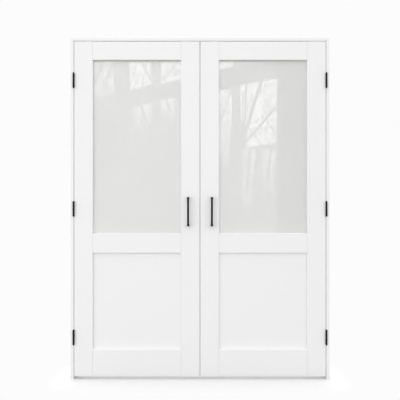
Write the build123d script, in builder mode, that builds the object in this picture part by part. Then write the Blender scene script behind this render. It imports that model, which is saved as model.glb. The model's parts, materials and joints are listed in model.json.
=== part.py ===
from build123d import *
from math import atan2, degrees, sqrt
import os

# French doors: two half-glazed leaves hung on butt hinges in their own jambs.
# X runs across the opening, Y from the front to the back, Z up. The origin is under the
# middle of the unit, on the surface that the side jambs stand on.

# Leaves
leaf_width = 762.0
leaf_height = 2032.0
leaf_thickness = 35.0
stile_width = 113.0
top_rail_height = 112.0
lock_rail_height = 119.0
bottom_rail_height = 163.0
panel_sight_height = 585.0
arris = 1.5  # the small bevel on every edge of the painted timber

# Gaps round the leaves
hinge_gap = 3.0
centre_gap = 4.0
head_gap = 3.0
floor_gap = 19.0

# Frame
jamb_thickness = 19.0
jamb_depth = 83.0
head_housing = 9.5  # how far the head is let into each side jamb
stop_thickness = 9.5
stop_width = 32.0
stop_gap = 3.0

# Pane, beads and panel
pane_setback = 15.5
pane_thickness = 5.0
pane_rebate = 10.0
pane_play = 1.0
bead_play = 0.05
bead_bevel = 4.0
panel_thickness = 12.0
groove_depth = 11.0
groove_play = 0.1
panel_play = 0.3
tenon_thickness = 11.0
tenon_length = 40.0
tenon_play = 0.1
shoulder_wood = 4.0  # timber left between a tenon and a groove or an edge

# The seals on the meeting edges of the leaves
seal_reach = 1.75  # how far a seal stands into the gap, short of the other one
seal_depth = 4.0
seal_set = 6.0

# Butt hinges
hinge_height = 89.0
hinge_width = 32.0
hinge_plate = 2.2
hinge_end_margin = 192.5  # from the end of a leaf to the nearer end of its hinge
barrel_radius = 5.5
barrel_clear = 0.5  # between the barrel and the plane of the leaf's face
knuckles = 5
knuckle_gap = 0.3
pin_radius = 3.1
pin_play = 0.05
pin_end = 2.0  # how far a pin stands out of each end of its barrel
mortise_play = 0.1

# Small round parts are many, so flats stand for their round form
round_sides = 12
screw_sides = 6

# Screws
screw_play = 0.05
screw_tip = 0.4  # the flat that ends a screw's point
hinge_screw_head = 4.0
hinge_screw_shank = 2.0
hinge_screw_length = 16.0
hinge_screw_rise = 30.0
hinge_screw_set = 11.0
hinge_screw_stagger = 8.0
frame_screw_head = 4.5
frame_screw_seat = 2.6
frame_screw_shank = 2.4
frame_screw_length = 45.0
frame_screw_count = 3
frame_screw_margin = 14.0

# Bullet catches and their strike plates
catch_from_edge = 49.0
catch_radius = 8.5
catch_height = 30.0
catch_floor = 1.5
catch_lip = 0.8
catch_play = 0.05
plunger_radius = 6.5
plunger_length = 12.0
plunger_play = 0.1
nose_radius = 2.5
catch_bite = 1.0  # how far the nose stands in the strike plate's hole
strike_play = 0.3
spring_wall = 1.2
spring_play = 0.3
strike_length = 45.0
strike_width = 25.0
strike_thickness = 1.6
strike_screw_head = 3.3
strike_screw_shank = 1.6
strike_screw_length = 12.0
strike_screw_margin = 6.0

# Pulls
pull_height = 176.0
pull_width = 12.0
pull_reach = 30.0
pull_grip = 9.0
pull_corner = 2.5
pull_edge = 1.0
pull_from_edge = 69.5
pull_above_floor = 1018.0
bolt_radius = 2.0
bolt_play = 0.1
bolt_head_radius = 5.0
bolt_head_height = 2.4
bolt_sides = 6
bolt_grip = 14.0
bolt_end_gap = 0.3

# Places worked out from the sizes above
opening_width = 2 * leaf_width + 2 * hinge_gap + centre_gap
jamb_face = -opening_width / 2
jamb_outer = jamb_face - jamb_thickness
leaf_hinge_side = jamb_face + hinge_gap
leaf_free_side = leaf_hinge_side + leaf_width
leaf_middle = (leaf_hinge_side + leaf_free_side) / 2
sight_width = leaf_width - 2 * stile_width

front = -(jamb_depth - pull_reach) / 2
leaf_back = front + leaf_thickness
leaf_mid_y = front + leaf_thickness / 2
stop_front = leaf_back + stop_gap

leaf_bottom = floor_gap
panel_bottom = leaf_bottom + bottom_rail_height
lock_bottom = panel_bottom + panel_sight_height
pane_bottom = lock_bottom + lock_rail_height
leaf_top = leaf_bottom + leaf_height
top_rail_bottom = leaf_top - top_rail_height
pane_sight_height = top_rail_bottom - pane_bottom
head_face = leaf_top + head_gap
frame_top = head_face + jamb_thickness

axis_x = jamb_face + hinge_gap / 2
axis_y = front - barrel_clear - barrel_radius
hinge_middles = [
    leaf_bottom + hinge_end_margin + hinge_height / 2,
    (leaf_bottom + leaf_top) / 2,
    leaf_top - hinge_end_margin - hinge_height / 2,
]

catch_x = leaf_free_side - catch_from_edge
pull_x = leaf_free_side - pull_from_edge

HALF_TURN = 180

os.makedirs("parts", exist_ok=True)


def face_plane(y):
    """The upright plane at depth y, seen from the front, with X across and Z up."""
    return Plane((0, y, 0), x_dir=(1, 0, 0), z_dir=(0, -1, 0))


def write(piece, name):
    piece.label = name
    export_step(piece, f"parts/{name}.step")


def write_pair(piece, name):
    """Write a left-hand piece and its mirror image on the right-hand side."""
    with BuildPart() as twin:
        mirror(piece, about=Plane.YZ)
    write(piece, name + "_left")
    write(twin.part, name + "_right")


def set_in(piece, planes, mode=Mode.ADD):
    """Put a copy of a piece on each plane, in the part that is being made."""
    with Locations(*[plane.location for plane in planes]):
        add(piece, mode=mode)


def countersunk_screw(head, seat, shank, length, play=0.0):
    """A screw whose head lies in the XY plane and whose point is down, or its hole if it has play."""
    with BuildPart() as screw:
        with BuildSketch():
            RegularPolygon(head + play, screw_sides, major_radius=False)
        extrude(amount=seat, taper=degrees(atan2(head - shank, seat)))
        with BuildSketch(Plane.XY.offset(seat)):
            RegularPolygon(shank + play, screw_sides, major_radius=False)
        extrude(amount=length + play, taper=degrees(atan2(shank + play - screw_tip, length + play)))
    return screw.part.rotate(Axis.X, HALF_TURN)


hinge_screw = (hinge_screw_head, hinge_plate, hinge_screw_shank, hinge_screw_length)
strike_screw = (strike_screw_head, strike_thickness, strike_screw_shank, strike_screw_length)
frame_screw = (frame_screw_head, frame_screw_seat, frame_screw_shank, frame_screw_length)


def hinge_screw_planes(x, outward):
    """Where the screws of the three plates at depth x lie; outward is the way their heads face."""
    planes = []
    for middle in hinge_middles:
        for row in (-1, 0, 1):
            y = front + hinge_screw_set + (hinge_screw_stagger if row == 0 else 0)
            planes.append(Plane((x, y, middle + row * hinge_screw_rise), z_dir=(outward, 0, 0)))
    return planes


def strike_screw_planes():
    reach = strike_length / 2 - strike_screw_margin
    return [Plane((catch_x + side * reach, leaf_mid_y, head_face), z_dir=(0, 0, -1)) for side in (-1, 1)]


def frame_screw_planes():
    """The screws that go through the left jamb's outer face into the end of the head."""
    span = jamb_depth - 2 * frame_screw_margin
    middle_z = head_face + jamb_thickness / 2
    return [
        Plane((jamb_outer, front + frame_screw_margin + step * span / (frame_screw_count - 1), middle_z),
              z_dir=(-1, 0, 0))
        for step in range(frame_screw_count)
    ]


def cut_hinge_mortises(plate_x):
    """The three shallow recesses for hinge plates whose middle thickness is at plate_x."""
    with Locations(*[(plate_x, front + hinge_width / 2, middle) for middle in hinge_middles]):
        Box(hinge_plate, hinge_width + 2 * mortise_play, hinge_height + 2 * mortise_play, mode=Mode.SUBTRACT)


# The side jambs, with the housing for the head, the hinge mortises and the screw holes
with BuildPart() as jamb:
    with BuildSketch():
        with Locations((jamb_face, front)):
            Rectangle(jamb_thickness, jamb_depth, align=(Align.MAX, Align.MIN))
    extrude(amount=frame_top)
    chamfer(jamb.edges().filter_by(Axis.Z), arris)
    with BuildSketch(face_plane(front)):
        with Locations((jamb_face, frame_top)):
            Rectangle(head_housing, jamb_thickness, align=(Align.MAX, Align.MAX))
    extrude(amount=-jamb_depth, mode=Mode.SUBTRACT)
    cut_hinge_mortises(jamb_face - hinge_plate / 2)
    set_in(countersunk_screw(*hinge_screw, screw_play), hinge_screw_planes(jamb_face, 1), Mode.SUBTRACT)
    set_in(countersunk_screw(*frame_screw, screw_play), frame_screw_planes(), Mode.SUBTRACT)
write_pair(jamb.part, "jamb")

# The head jamb, with the seats of the strike plates
with BuildPart() as head_jamb:
    with BuildSketch(face_plane(front)):
        with Locations((0, head_face)):
            Rectangle(opening_width + 2 * head_housing, jamb_thickness, align=(Align.CENTER, Align.MIN))
    extrude(amount=-jamb_depth)
    chamfer(head_jamb.edges().filter_by(Axis.X), arris)
    with Locations(*[(side * catch_x, leaf_mid_y, head_face) for side in (-1, 1)]):
        Box(strike_length + 2 * mortise_play, strike_width + 2 * mortise_play, strike_thickness,
            align=(Align.CENTER, Align.CENTER, Align.MIN), mode=Mode.SUBTRACT)
    for plane in strike_screw_planes():
        for half in (plane, Plane((-plane.origin.X, plane.origin.Y, plane.origin.Z), z_dir=(0, 0, -1))):
            set_in(countersunk_screw(*strike_screw, screw_play), [half], Mode.SUBTRACT)
    for plane in frame_screw_planes():
        for side in (1, -1):
            end = Plane((side * plane.origin.X, plane.origin.Y, plane.origin.Z), z_dir=(-side, 0, 0))
            set_in(countersunk_screw(*frame_screw, screw_play), [end], Mode.SUBTRACT)
write(head_jamb.part, "head_jamb")

# The stops, mitred where the head stop meets the side stops
with BuildPart() as stop:
    with BuildSketch(face_plane(stop_front)):
        with BuildLine():
            Polyline(
                (jamb_face, 0),
                (jamb_face + stop_thickness, 0),
                (jamb_face + stop_thickness, head_face - stop_thickness),
                (jamb_face, head_face),
                close=True,
            )
        make_face()
    extrude(amount=-stop_width)
    inner_edges = stop.edges().filter_by(Axis.Z).group_by(Axis.X)[-1]
    chamfer(inner_edges, arris)
write_pair(stop.part, "stop")

with BuildPart() as stop_head:
    with BuildSketch(face_plane(stop_front)):
        with BuildLine():
            Polyline(
                (jamb_face, head_face),
                (jamb_face + stop_thickness, head_face - stop_thickness),
                (-jamb_face - stop_thickness, head_face - stop_thickness),
                (-jamb_face, head_face),
                close=True,
            )
        make_face()
    extrude(amount=-stop_width)
    chamfer(stop_head.edges().filter_by(Axis.X).group_by(Axis.Z)[0], arris)
write(stop_head.part, "stop_head")

# The nose of each catch is a cone that starts under the lip of its case and ends in the hole of
# the strike plate above it
nose_height = catch_lip + head_gap + catch_bite
nose_slope = (plunger_radius - nose_radius) / nose_height
nose_taper = degrees(atan2(plunger_radius - nose_radius, nose_height))
strike_hole_radius = nose_radius + catch_bite * nose_slope + strike_play

# The strike plates, with the hole that the nose of the catch rises into
with BuildPart() as strike:
    with BuildSketch(Plane.XY.offset(head_face)):
        with Locations((catch_x, leaf_mid_y)):
            Rectangle(strike_length, strike_width)
            RegularPolygon(strike_hole_radius, round_sides, major_radius=False, mode=Mode.SUBTRACT)
    extrude(amount=strike_thickness)
    set_in(countersunk_screw(*strike_screw, screw_play), strike_screw_planes(), Mode.SUBTRACT)
write_pair(strike.part, "strike")

with BuildPart() as strike_screws:
    set_in(countersunk_screw(*strike_screw), strike_screw_planes())
    mirror(about=Plane.YZ)
write(strike_screws.part, "strike_screws")

with BuildPart() as frame_screws:
    set_in(countersunk_screw(*frame_screw), frame_screw_planes())
    mirror(about=Plane.YZ)
write(frame_screws.part, "frame_screws")

# The hinges. Each plate lies in its mortise and reaches its own knuckles with short arms that
# meet the barrel's wall half way through its thickness.
knuckle_pitch = hinge_height / knuckles
knuckle_length = knuckle_pitch - knuckle_gap
pin_bore = pin_radius + pin_play
wall_middle = (barrel_radius + pin_bore) / 2
plate_offset = (hinge_gap + hinge_plate) / 2
arm_root = axis_y + sqrt(wall_middle**2 - plate_offset**2)


def hinge_half(middle, side, own_knuckles):
    """Half a hinge: side is -1 for the plate on the jamb and 1 for the plate on the leaf."""
    plate_x = axis_x + side * plate_offset
    knuckle_middles = [middle + (index - (knuckles - 1) / 2) * knuckle_pitch for index in own_knuckles]
    with BuildPart() as half:
        with BuildSketch(Plane.XY.offset(middle - hinge_height / 2)):
            with Locations((plate_x, front)):
                Rectangle(hinge_plate, hinge_width, align=(Align.CENTER, Align.MIN))
        extrude(amount=hinge_height)
        for knuckle_middle in knuckle_middles:
            with BuildSketch(Plane.XY.offset(knuckle_middle - knuckle_length / 2)):
                with Locations((plate_x, arm_root)):
                    Rectangle(hinge_plate, front - arm_root, align=(Align.CENTER, Align.MIN))
                with Locations((axis_x, axis_y)):
                    RegularPolygon(barrel_radius, round_sides)
                    RegularPolygon(pin_bore, round_sides, major_radius=False, mode=Mode.SUBTRACT)
            extrude(amount=knuckle_length)
        face_x = axis_x + side * hinge_gap / 2
        planes = [plane for plane in hinge_screw_planes(face_x, -side)
                  if abs(plane.origin.Z - middle) < hinge_height / 2]
        set_in(countersunk_screw(*hinge_screw, screw_play), planes, Mode.SUBTRACT)
    return half.part


jamb_knuckles = range(0, knuckles, 2)
leaf_knuckles = range(1, knuckles, 2)
for place, middle in zip(("bottom", "middle", "top"), hinge_middles):
    write_pair(hinge_half(middle, -1, jamb_knuckles), f"hinge_{place}_jamb_plate")
    write_pair(hinge_half(middle, 1, leaf_knuckles), f"hinge_{place}_leaf_plate")

with BuildPart() as hinge_pins:
    for middle in hinge_middles:
        with BuildSketch(Plane.XY.offset(middle - hinge_height / 2 - pin_end)):
            with Locations((axis_x, axis_y)):
                Circle(pin_radius)
        extrude(amount=hinge_height + 2 * pin_end)
write_pair(hinge_pins.part, "hinge_pins")

for name, face_x, outward in (("jamb", jamb_face, 1), ("leaf", leaf_hinge_side, -1)):
    with BuildPart() as hinge_screws:
        set_in(countersunk_screw(*hinge_screw), hinge_screw_planes(face_x, outward))
    write_pair(hinge_screws.part, f"hinge_screws_{name}")

# What is cut out of the leaf's timber, wherever it crosses a stile or a rail
with BuildPart() as pane_seat:
    with BuildSketch(face_plane(front + pane_setback)):
        with Locations((leaf_middle, (pane_bottom + top_rail_bottom) / 2)):
            Rectangle(sight_width + 2 * pane_rebate, pane_sight_height + 2 * pane_rebate)
    extrude(amount=-(leaf_thickness - pane_setback))

with BuildPart() as panel_groove:
    groove_width = panel_thickness + 2 * groove_play
    with BuildSketch(face_plane(leaf_mid_y - groove_width / 2)):
        with Locations((leaf_middle, (panel_bottom + lock_bottom) / 2)):
            Rectangle(sight_width + 2 * groove_depth, panel_sight_height + 2 * groove_depth)
    extrude(amount=-groove_width)

rails = {
    "bottom_rail": (leaf_bottom, panel_bottom),
    "lock_rail": (lock_bottom, pane_bottom),
    "top_rail": (top_rail_bottom, leaf_top),
}
tenon_shoulder = max(groove_depth, pane_rebate) + shoulder_wood


def tenons(low, high, play=0.0):
    """The two tenons of a rail as one bar through it, or their mortises if there is play."""
    with BuildPart() as bar:
        with BuildSketch(Plane.YZ.offset(leaf_middle)):
            with Locations((leaf_mid_y, (low + high) / 2)):
                Rectangle(tenon_thickness + 2 * play, high - low - 2 * tenon_shoulder + 2 * play)
        extrude(amount=sight_width / 2 + tenon_length + play, both=True)
    return bar.part


def stile_blank(side):
    """A stile with its grooves and mortises: side is -1 at the hinges and 1 at the meeting edge."""
    middle_x = leaf_middle + side * (leaf_width - stile_width) / 2
    with BuildPart() as blank:
        with BuildSketch(Plane.XY.offset(leaf_bottom)):
            with Locations((middle_x, leaf_mid_y)):
                Rectangle(stile_width, leaf_thickness)
        extrude(amount=leaf_height)
        chamfer(blank.edges().filter_by(Axis.Z), arris)
        add(pane_seat.part, mode=Mode.SUBTRACT)
        add(panel_groove.part, mode=Mode.SUBTRACT)
        for low, high in rails.values():
            add(tenons(low, high, tenon_play), mode=Mode.SUBTRACT)
    return blank.part


with BuildPart() as hinge_stile:
    add(stile_blank(-1))
    cut_hinge_mortises(leaf_hinge_side + hinge_plate / 2)
    screw_places = hinge_screw_planes(leaf_hinge_side, -1)
    set_in(countersunk_screw(*hinge_screw, screw_play), screw_places, Mode.SUBTRACT)
write_pair(hinge_stile.part, "hinge_stile")

bolt_reach = pull_height / 2 - pull_width / 2
bolt_spots = [(pull_x, pull_above_floor + side * bolt_reach) for side in (-1, 1)]
with BuildPart() as meeting_stile:
    add(stile_blank(1))
    with BuildSketch(Plane.XY.offset(leaf_top)):
        with Locations((catch_x, leaf_mid_y)):
            RegularPolygon(catch_radius + catch_play, round_sides)
    extrude(amount=-catch_height, mode=Mode.SUBTRACT)
    with BuildSketch(face_plane(front)):
        with Locations(*bolt_spots):
            RegularPolygon(bolt_radius + bolt_play, screw_sides, major_radius=False)
    extrude(amount=-leaf_thickness, mode=Mode.SUBTRACT)
write_pair(meeting_stile.part, "meeting_stile")

for name, (low, high) in rails.items():
    with BuildPart() as rail:
        with BuildSketch(face_plane(front)):
            with Locations((leaf_middle, (low + high) / 2)):
                Rectangle(sight_width, high - low)
        extrude(amount=-leaf_thickness)
        faces_across = rail.faces().filter_by(Axis.Y)
        chamfer(faces_across.edges(), arris)
        add(tenons(low, high))
        add(pane_seat.part, mode=Mode.SUBTRACT)
        add(panel_groove.part, mode=Mode.SUBTRACT)
    write_pair(rail.part, name)

with BuildPart() as panel:
    with BuildSketch(face_plane(leaf_mid_y - panel_thickness / 2)):
        with Locations((leaf_middle, (panel_bottom + lock_bottom) / 2)):
            inset = groove_depth - panel_play
            Rectangle(sight_width + 2 * inset, panel_sight_height + 2 * inset)
    extrude(amount=-panel_thickness)
write_pair(panel.part, "panel")

with BuildPart() as pane:
    with BuildSketch(face_plane(front + pane_setback)):
        with Locations((leaf_middle, (pane_bottom + top_rail_bottom) / 2)):
            inset = pane_rebate - pane_play
            Rectangle(sight_width + 2 * inset, pane_sight_height + 2 * inset)
    extrude(amount=-pane_thickness)
write_pair(pane.part, "glass_pane")

# A soft strip on the meeting edge of each leaf closes all but a hair of the gap between them
with BuildPart() as meeting_seal:
    with Locations((leaf_free_side, front + seal_set, leaf_bottom + arris)):
        Box(seal_reach, seal_depth, leaf_height - 2 * arris, align=Align.MIN)
write_pair(meeting_seal.part, "meeting_seal")

# The glazing beads: four strips, mitred at the corners, that hold the pane from the back
bead_front = front + pane_setback + pane_thickness
bead_depth = leaf_back - bead_front


def pane_corners(grow):
    """The corners of the opening for the pane, moved outwards by grow."""
    half_width = sight_width / 2 + grow
    half_height = pane_sight_height / 2 + grow
    middle_z = (pane_bottom + top_rail_bottom) / 2
    turns = ((-1, -1), (1, -1), (1, 1), (-1, 1))
    return [(leaf_middle + across * half_width, middle_z + up * half_height) for across, up in turns]


sight_corners = pane_corners(0)
rebate_corners = pane_corners(pane_rebate)
with BuildPart() as glazing_beads:
    for start in range(len(sight_corners)):
        end = (start + 1) % len(sight_corners)
        with BuildSketch(face_plane(bead_front)):
            with BuildLine():
                Polyline(sight_corners[start], rebate_corners[start], rebate_corners[end], sight_corners[end],
                         close=True)
            make_face()
            offset(amount=-bead_play, kind=Kind.INTERSECTION)
        extrude(amount=-bead_depth)
    back_edges = glazing_beads.faces().filter_by(Axis.Y).group_by(Axis.Y)[-1].edges()
    for direction, across in ((Axis.X, Axis.Z), (Axis.Z, Axis.X)):
        sorted_edges = back_edges.filter_by(direction).sort_by(across)
        chamfer(sorted_edges[1:-1], bead_bevel)
write_pair(glazing_beads.part, "glazing_beads")

# The bar pull: a slim bar on two square legs, bolted through the meeting stile from the back
with BuildPart() as pull:
    with BuildSketch(Plane.YZ.offset(pull_x - pull_width / 2)):
        with Locations((front, pull_above_floor)):
            Rectangle(pull_reach, pull_height, align=(Align.MAX, Align.CENTER))
            Rectangle(pull_reach - pull_grip, pull_height - 2 * pull_width, align=(Align.MAX, Align.CENTER),
                      mode=Mode.SUBTRACT)
    extrude(amount=pull_width)
    outer_corners = pull.edges().filter_by(Axis.X).group_by(Axis.Y)[0]
    chamfer(outer_corners, pull_corner)
    chamfer(pull.faces().sort_by(Axis.Y)[0].edges().filter_by(Axis.Z), pull_edge)
    with BuildSketch(face_plane(front)):
        with Locations(*bolt_spots):
            RegularPolygon(bolt_radius + bolt_play, screw_sides, major_radius=False)
    extrude(amount=bolt_grip, mode=Mode.SUBTRACT)
write_pair(pull.part, "pull")

with BuildPart() as pull_bolts:
    with BuildSketch(face_plane(leaf_back)):
        with Locations(*bolt_spots):
            RegularPolygon(bolt_radius, screw_sides, major_radius=False)
    extrude(amount=leaf_thickness + bolt_grip - bolt_end_gap)
    with BuildSketch(face_plane(leaf_back)):
        with Locations(*bolt_spots):
            RegularPolygon(bolt_head_radius, bolt_sides, major_radius=False)
    extrude(amount=-bolt_head_height)
write_pair(pull_bolts.part, "pull_bolts")

# The bullet catch: a case let into the top of the meeting stile, a spring, and the plunger that it
# lifts against the lip of the case and into the strike plate's hole
case_bore = plunger_radius + plunger_play
case_floor_z = leaf_top - catch_height + catch_floor
plunger_foot = leaf_top - catch_lip - plunger_length
with BuildPart() as catch_case:
    with BuildSketch(Plane.XY.offset(leaf_top - catch_height)):
        with Locations((catch_x, leaf_mid_y)):
            RegularPolygon(catch_radius, round_sides)
    extrude(amount=catch_height)
    with BuildSketch(Plane.XY.offset(case_floor_z)):
        with Locations((catch_x, leaf_mid_y)):
            RegularPolygon(case_bore, round_sides, major_radius=False)
    extrude(amount=leaf_top - catch_lip - case_floor_z, mode=Mode.SUBTRACT)
    with BuildSketch(Plane.XY.offset(leaf_top - catch_lip)):
        with Locations((catch_x, leaf_mid_y)):
            RegularPolygon(case_bore, round_sides, major_radius=False)
    extrude(amount=catch_lip, taper=nose_taper, mode=Mode.SUBTRACT)
write_pair(catch_case.part, "catch_case")

with BuildPart() as catch_plunger:
    with BuildSketch(Plane.XY.offset(plunger_foot)):
        with Locations((catch_x, leaf_mid_y)):
            RegularPolygon(plunger_radius, round_sides, major_radius=False)
    extrude(amount=plunger_length)
    with BuildSketch(Plane.XY.offset(plunger_foot + plunger_length)):
        with Locations((catch_x, leaf_mid_y)):
            RegularPolygon(plunger_radius, round_sides, major_radius=False)
    extrude(amount=nose_height, taper=nose_taper)
write_pair(catch_plunger.part, "catch_plunger")

# The spring is kept as the sleeve that its coils fill
spring_radius = case_bore - spring_play
with BuildPart() as catch_spring:
    with BuildSketch(Plane.XY.offset(case_floor_z)):
        with Locations((catch_x, leaf_mid_y)):
            RegularPolygon(spring_radius, round_sides)
            RegularPolygon(spring_radius - spring_wall, round_sides, mode=Mode.SUBTRACT)
    extrude(amount=plunger_foot - case_floor_z)
write_pair(catch_spring.part, "catch_spring")
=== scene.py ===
# %% [markdown]
# # French doors in their frame
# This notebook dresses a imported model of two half-glazed doors. The solids come ready, at their
# real size, with every leaf, rail and hinge where it belongs. What is made here is what the eye
# reads as paint, glass and black metal, and the small round parts that the solids hold as flats.

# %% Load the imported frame
import bmesh
import bpy
import json
import math
from mathutils import Matrix, Vector


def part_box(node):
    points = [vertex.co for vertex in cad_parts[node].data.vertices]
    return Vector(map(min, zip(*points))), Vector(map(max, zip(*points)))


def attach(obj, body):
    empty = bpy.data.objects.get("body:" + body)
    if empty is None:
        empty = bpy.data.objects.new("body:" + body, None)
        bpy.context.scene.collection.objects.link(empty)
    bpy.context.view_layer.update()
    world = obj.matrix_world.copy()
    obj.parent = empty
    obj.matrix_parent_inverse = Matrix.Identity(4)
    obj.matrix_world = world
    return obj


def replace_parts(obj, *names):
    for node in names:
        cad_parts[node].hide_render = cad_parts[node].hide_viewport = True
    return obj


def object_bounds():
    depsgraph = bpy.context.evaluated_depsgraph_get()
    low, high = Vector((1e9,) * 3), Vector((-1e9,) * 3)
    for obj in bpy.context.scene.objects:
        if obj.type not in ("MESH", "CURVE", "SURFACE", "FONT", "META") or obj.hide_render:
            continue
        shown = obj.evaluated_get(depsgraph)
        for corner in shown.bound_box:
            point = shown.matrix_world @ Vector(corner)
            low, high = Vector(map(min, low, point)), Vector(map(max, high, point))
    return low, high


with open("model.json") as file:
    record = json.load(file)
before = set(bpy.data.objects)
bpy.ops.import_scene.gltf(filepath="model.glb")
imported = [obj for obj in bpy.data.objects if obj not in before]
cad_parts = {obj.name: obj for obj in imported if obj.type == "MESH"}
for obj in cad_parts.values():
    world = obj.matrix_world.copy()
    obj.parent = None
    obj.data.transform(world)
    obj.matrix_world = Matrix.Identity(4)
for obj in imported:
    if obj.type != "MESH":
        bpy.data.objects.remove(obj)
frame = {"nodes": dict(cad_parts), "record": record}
cad_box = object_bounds()
nodes = frame["nodes"]
SIDES = ("left", "right")
UP, DOWN = (0, 0, 1), (0, 0, -1)
WHITE = (1, 1, 1, 1)
MM = 0.001

# %% [markdown]
# Every place below is read from the boxes of the solids, so nothing is fitted by eye. A leaf's
# face is the front of its stile, and the camera and the lights are set out from it.

# %% Read the places that the rest needs
stile_low, stile_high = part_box("hinge_stile_left")
pane_low, pane_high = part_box("glass_pane_left")
face_y = stile_low[1]
leaf_bottom, leaf_top = stile_low[2], stile_high[2]
print("leaf face at", round(face_y, 4), "leaf from", round(leaf_bottom, 3), "to", round(leaf_top, 3))
print("pane of the left leaf:", round(pane_high[0] - pane_low[0], 3), "m wide")

# %% [markdown]
# ## The camera
# A catalogue picture of a door is taken straight on, from about chest height, so that the
# upright lines stay upright. The lens could be guessed until the doors fit. It is worked out
# here, because the picture is a square of 400 pixels, and a leaf fills 334.8 of them in height
# and starts 41.4 below its top edge.

# %% Set the camera straight in front of the leaves
PICTURE_PX = 400
LEAF_PX = 334.8
LEAF_TOP_PX = 41.4
CAMERA_DISTANCE = 2.1
SENSOR = 36.0
FAR_LIMIT = 100

metres_per_px = (leaf_top - leaf_bottom) / LEAF_PX
field = PICTURE_PX * metres_per_px
camera_height = leaf_top - (PICTURE_PX / 2 - LEAF_TOP_PX) * metres_per_px
camera_y = face_y - CAMERA_DISTANCE

camera_data = bpy.data.cameras.new("camera")
camera_data.sensor_width = SENSOR
camera_data.lens = SENSOR * CAMERA_DISTANCE / field
camera_data.clip_end = FAR_LIMIT
camera = bpy.data.objects.new("camera", camera_data)
camera.location = (0, camera_y, camera_height)
camera.rotation_euler = (math.radians(90), 0, 0)
bpy.context.collection.objects.link(camera)
bpy.context.scene.camera = camera
print("lens", round(camera_data.lens, 2), "mm, height", round(camera_height, 3), "m")

# %% [markdown]
# ## Helpers for materials
# A material is a graph of nodes. Written out in full, each would take a page, so small helpers
# add a node with its settings, do a sum, find a node again and mix two shaders.

# %% Add, find and mix nodes
def feed(tree, socket, value):
    """Link an input to another node's output, or write a plain value on it."""
    if isinstance(value, bpy.types.NodeSocket):
        tree.links.new(value, socket)
    else:
        socket.default_value = value


def add_node(tree, kind, **settings):
    """A new node: in_ settings feed its inputs by name, and the others are its attributes."""
    node = tree.nodes.new(kind)
    for name, value in settings.items():
        if name.startswith("in_"):
            feed(tree, node.inputs[name[3:].replace("_", " ")], value)
        else:
            setattr(node, name, value)
    return node


def add_math(tree, operation, *values):
    """A maths node fed with sockets or numbers; returns its result."""
    node = add_node(tree, "ShaderNodeMath", operation=operation)
    for socket, value in zip(node.inputs, values):
        feed(tree, socket, value)
    return node.outputs[0]


def find_node(tree, kind):
    """The first node of one kind in a tree."""
    return next(node for node in tree.nodes if node.bl_idname == kind)


def mix_shaders(tree, share, first, second):
    """Goes from the first shader to the second as the share rises from 0 to 1."""
    mix = add_node(tree, "ShaderNodeMixShader")
    for socket, source in zip(mix.inputs, (share, first, second)):
        feed(tree, socket, source)
    return mix.outputs[0]


print("node helpers ready")

# %% [markdown]
# A real finish is described by how it looks, so colours are given here as grey levels from 0 to
# 255, as a paint card would be read on screen, and turned into the linear values of the shader.

# %% Start a material and give it a grey
def new_material(name, **principled):
    """A material with a Principled shader wired to its output; returns it and the shader."""
    material = bpy.data.materials.new(name)
    material.use_nodes = True
    tree = material.node_tree
    tree.nodes.clear()
    values = {"in_" + socket: value for socket, value in principled.items()}
    shader = add_node(tree, "ShaderNodeBsdfPrincipled", **values)
    add_node(tree, "ShaderNodeOutputMaterial", in_Surface=shader.outputs["BSDF"])
    return material, shader


def srgb(level):
    """The linear value of a grey given as it looks on screen, from 0 to 255."""
    share = level / 255
    return share / 12.92 if share <= 0.04045 else ((share + 0.055) / 1.055) ** 2.4


def grey(level, warm=0.0):
    """A grey colour from its screen level, slightly warmer or cooler if asked."""
    value = srgb(level)
    return (value * (1 + warm), value, value * (1 - warm), 1)


print("a grey of 243 is", round(srgb(243), 3), "in linear light")

# %% [markdown]
# An effect that several finishes share is built once, as a node group with named sockets. This
# helper makes the empty group, so that each builder below holds only what its effect does.

# %% Make an empty group with its sockets
COLOUR, NUMBER, DIRECTION = "NodeSocketColor", "NodeSocketFloat", "NodeSocketVector"
PALE = (0.8, 0.8, 0.8, 1)


def empty_group(name, inputs, outputs):
    """A shader node group with named sockets; returns it with its input and output nodes."""
    group = bpy.data.node_groups.new(name, "ShaderNodeTree")
    for label, kind, value in inputs:
        socket = group.interface.new_socket(label, in_out="INPUT", socket_type=kind)
        socket.default_value = value
    for label, kind in outputs:
        group.interface.new_socket(label, in_out="OUTPUT", socket_type=kind)
    return group, group.nodes.new("NodeGroupInput"), group.nodes.new("NodeGroupOutput")


def scale_colour(tree, colour, factor):
    """The colour made lighter or darker by a factor."""
    tinted = add_node(tree, "ShaderNodeVectorMath", operation="SCALE", in_Scale=factor)
    feed(tree, tinted.inputs[0], colour)
    return tinted.outputs[0]


print("group helpers ready")

# %% [markdown]
# ## The sprayed finish as a node group
# Painted timber and powder-coated metal share one effect: a skin that is almost smooth, with a
# fine orange peel, and a tone that drifts by a percent or two over a hand's breadth. It is built
# once as a group, so that each finish sets only its own scale and strength.

# %% Build the sprayed finish group
GLOSS_DRIFT = 0.12
PEEL_HEIGHT = 0.4 * MM


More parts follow.
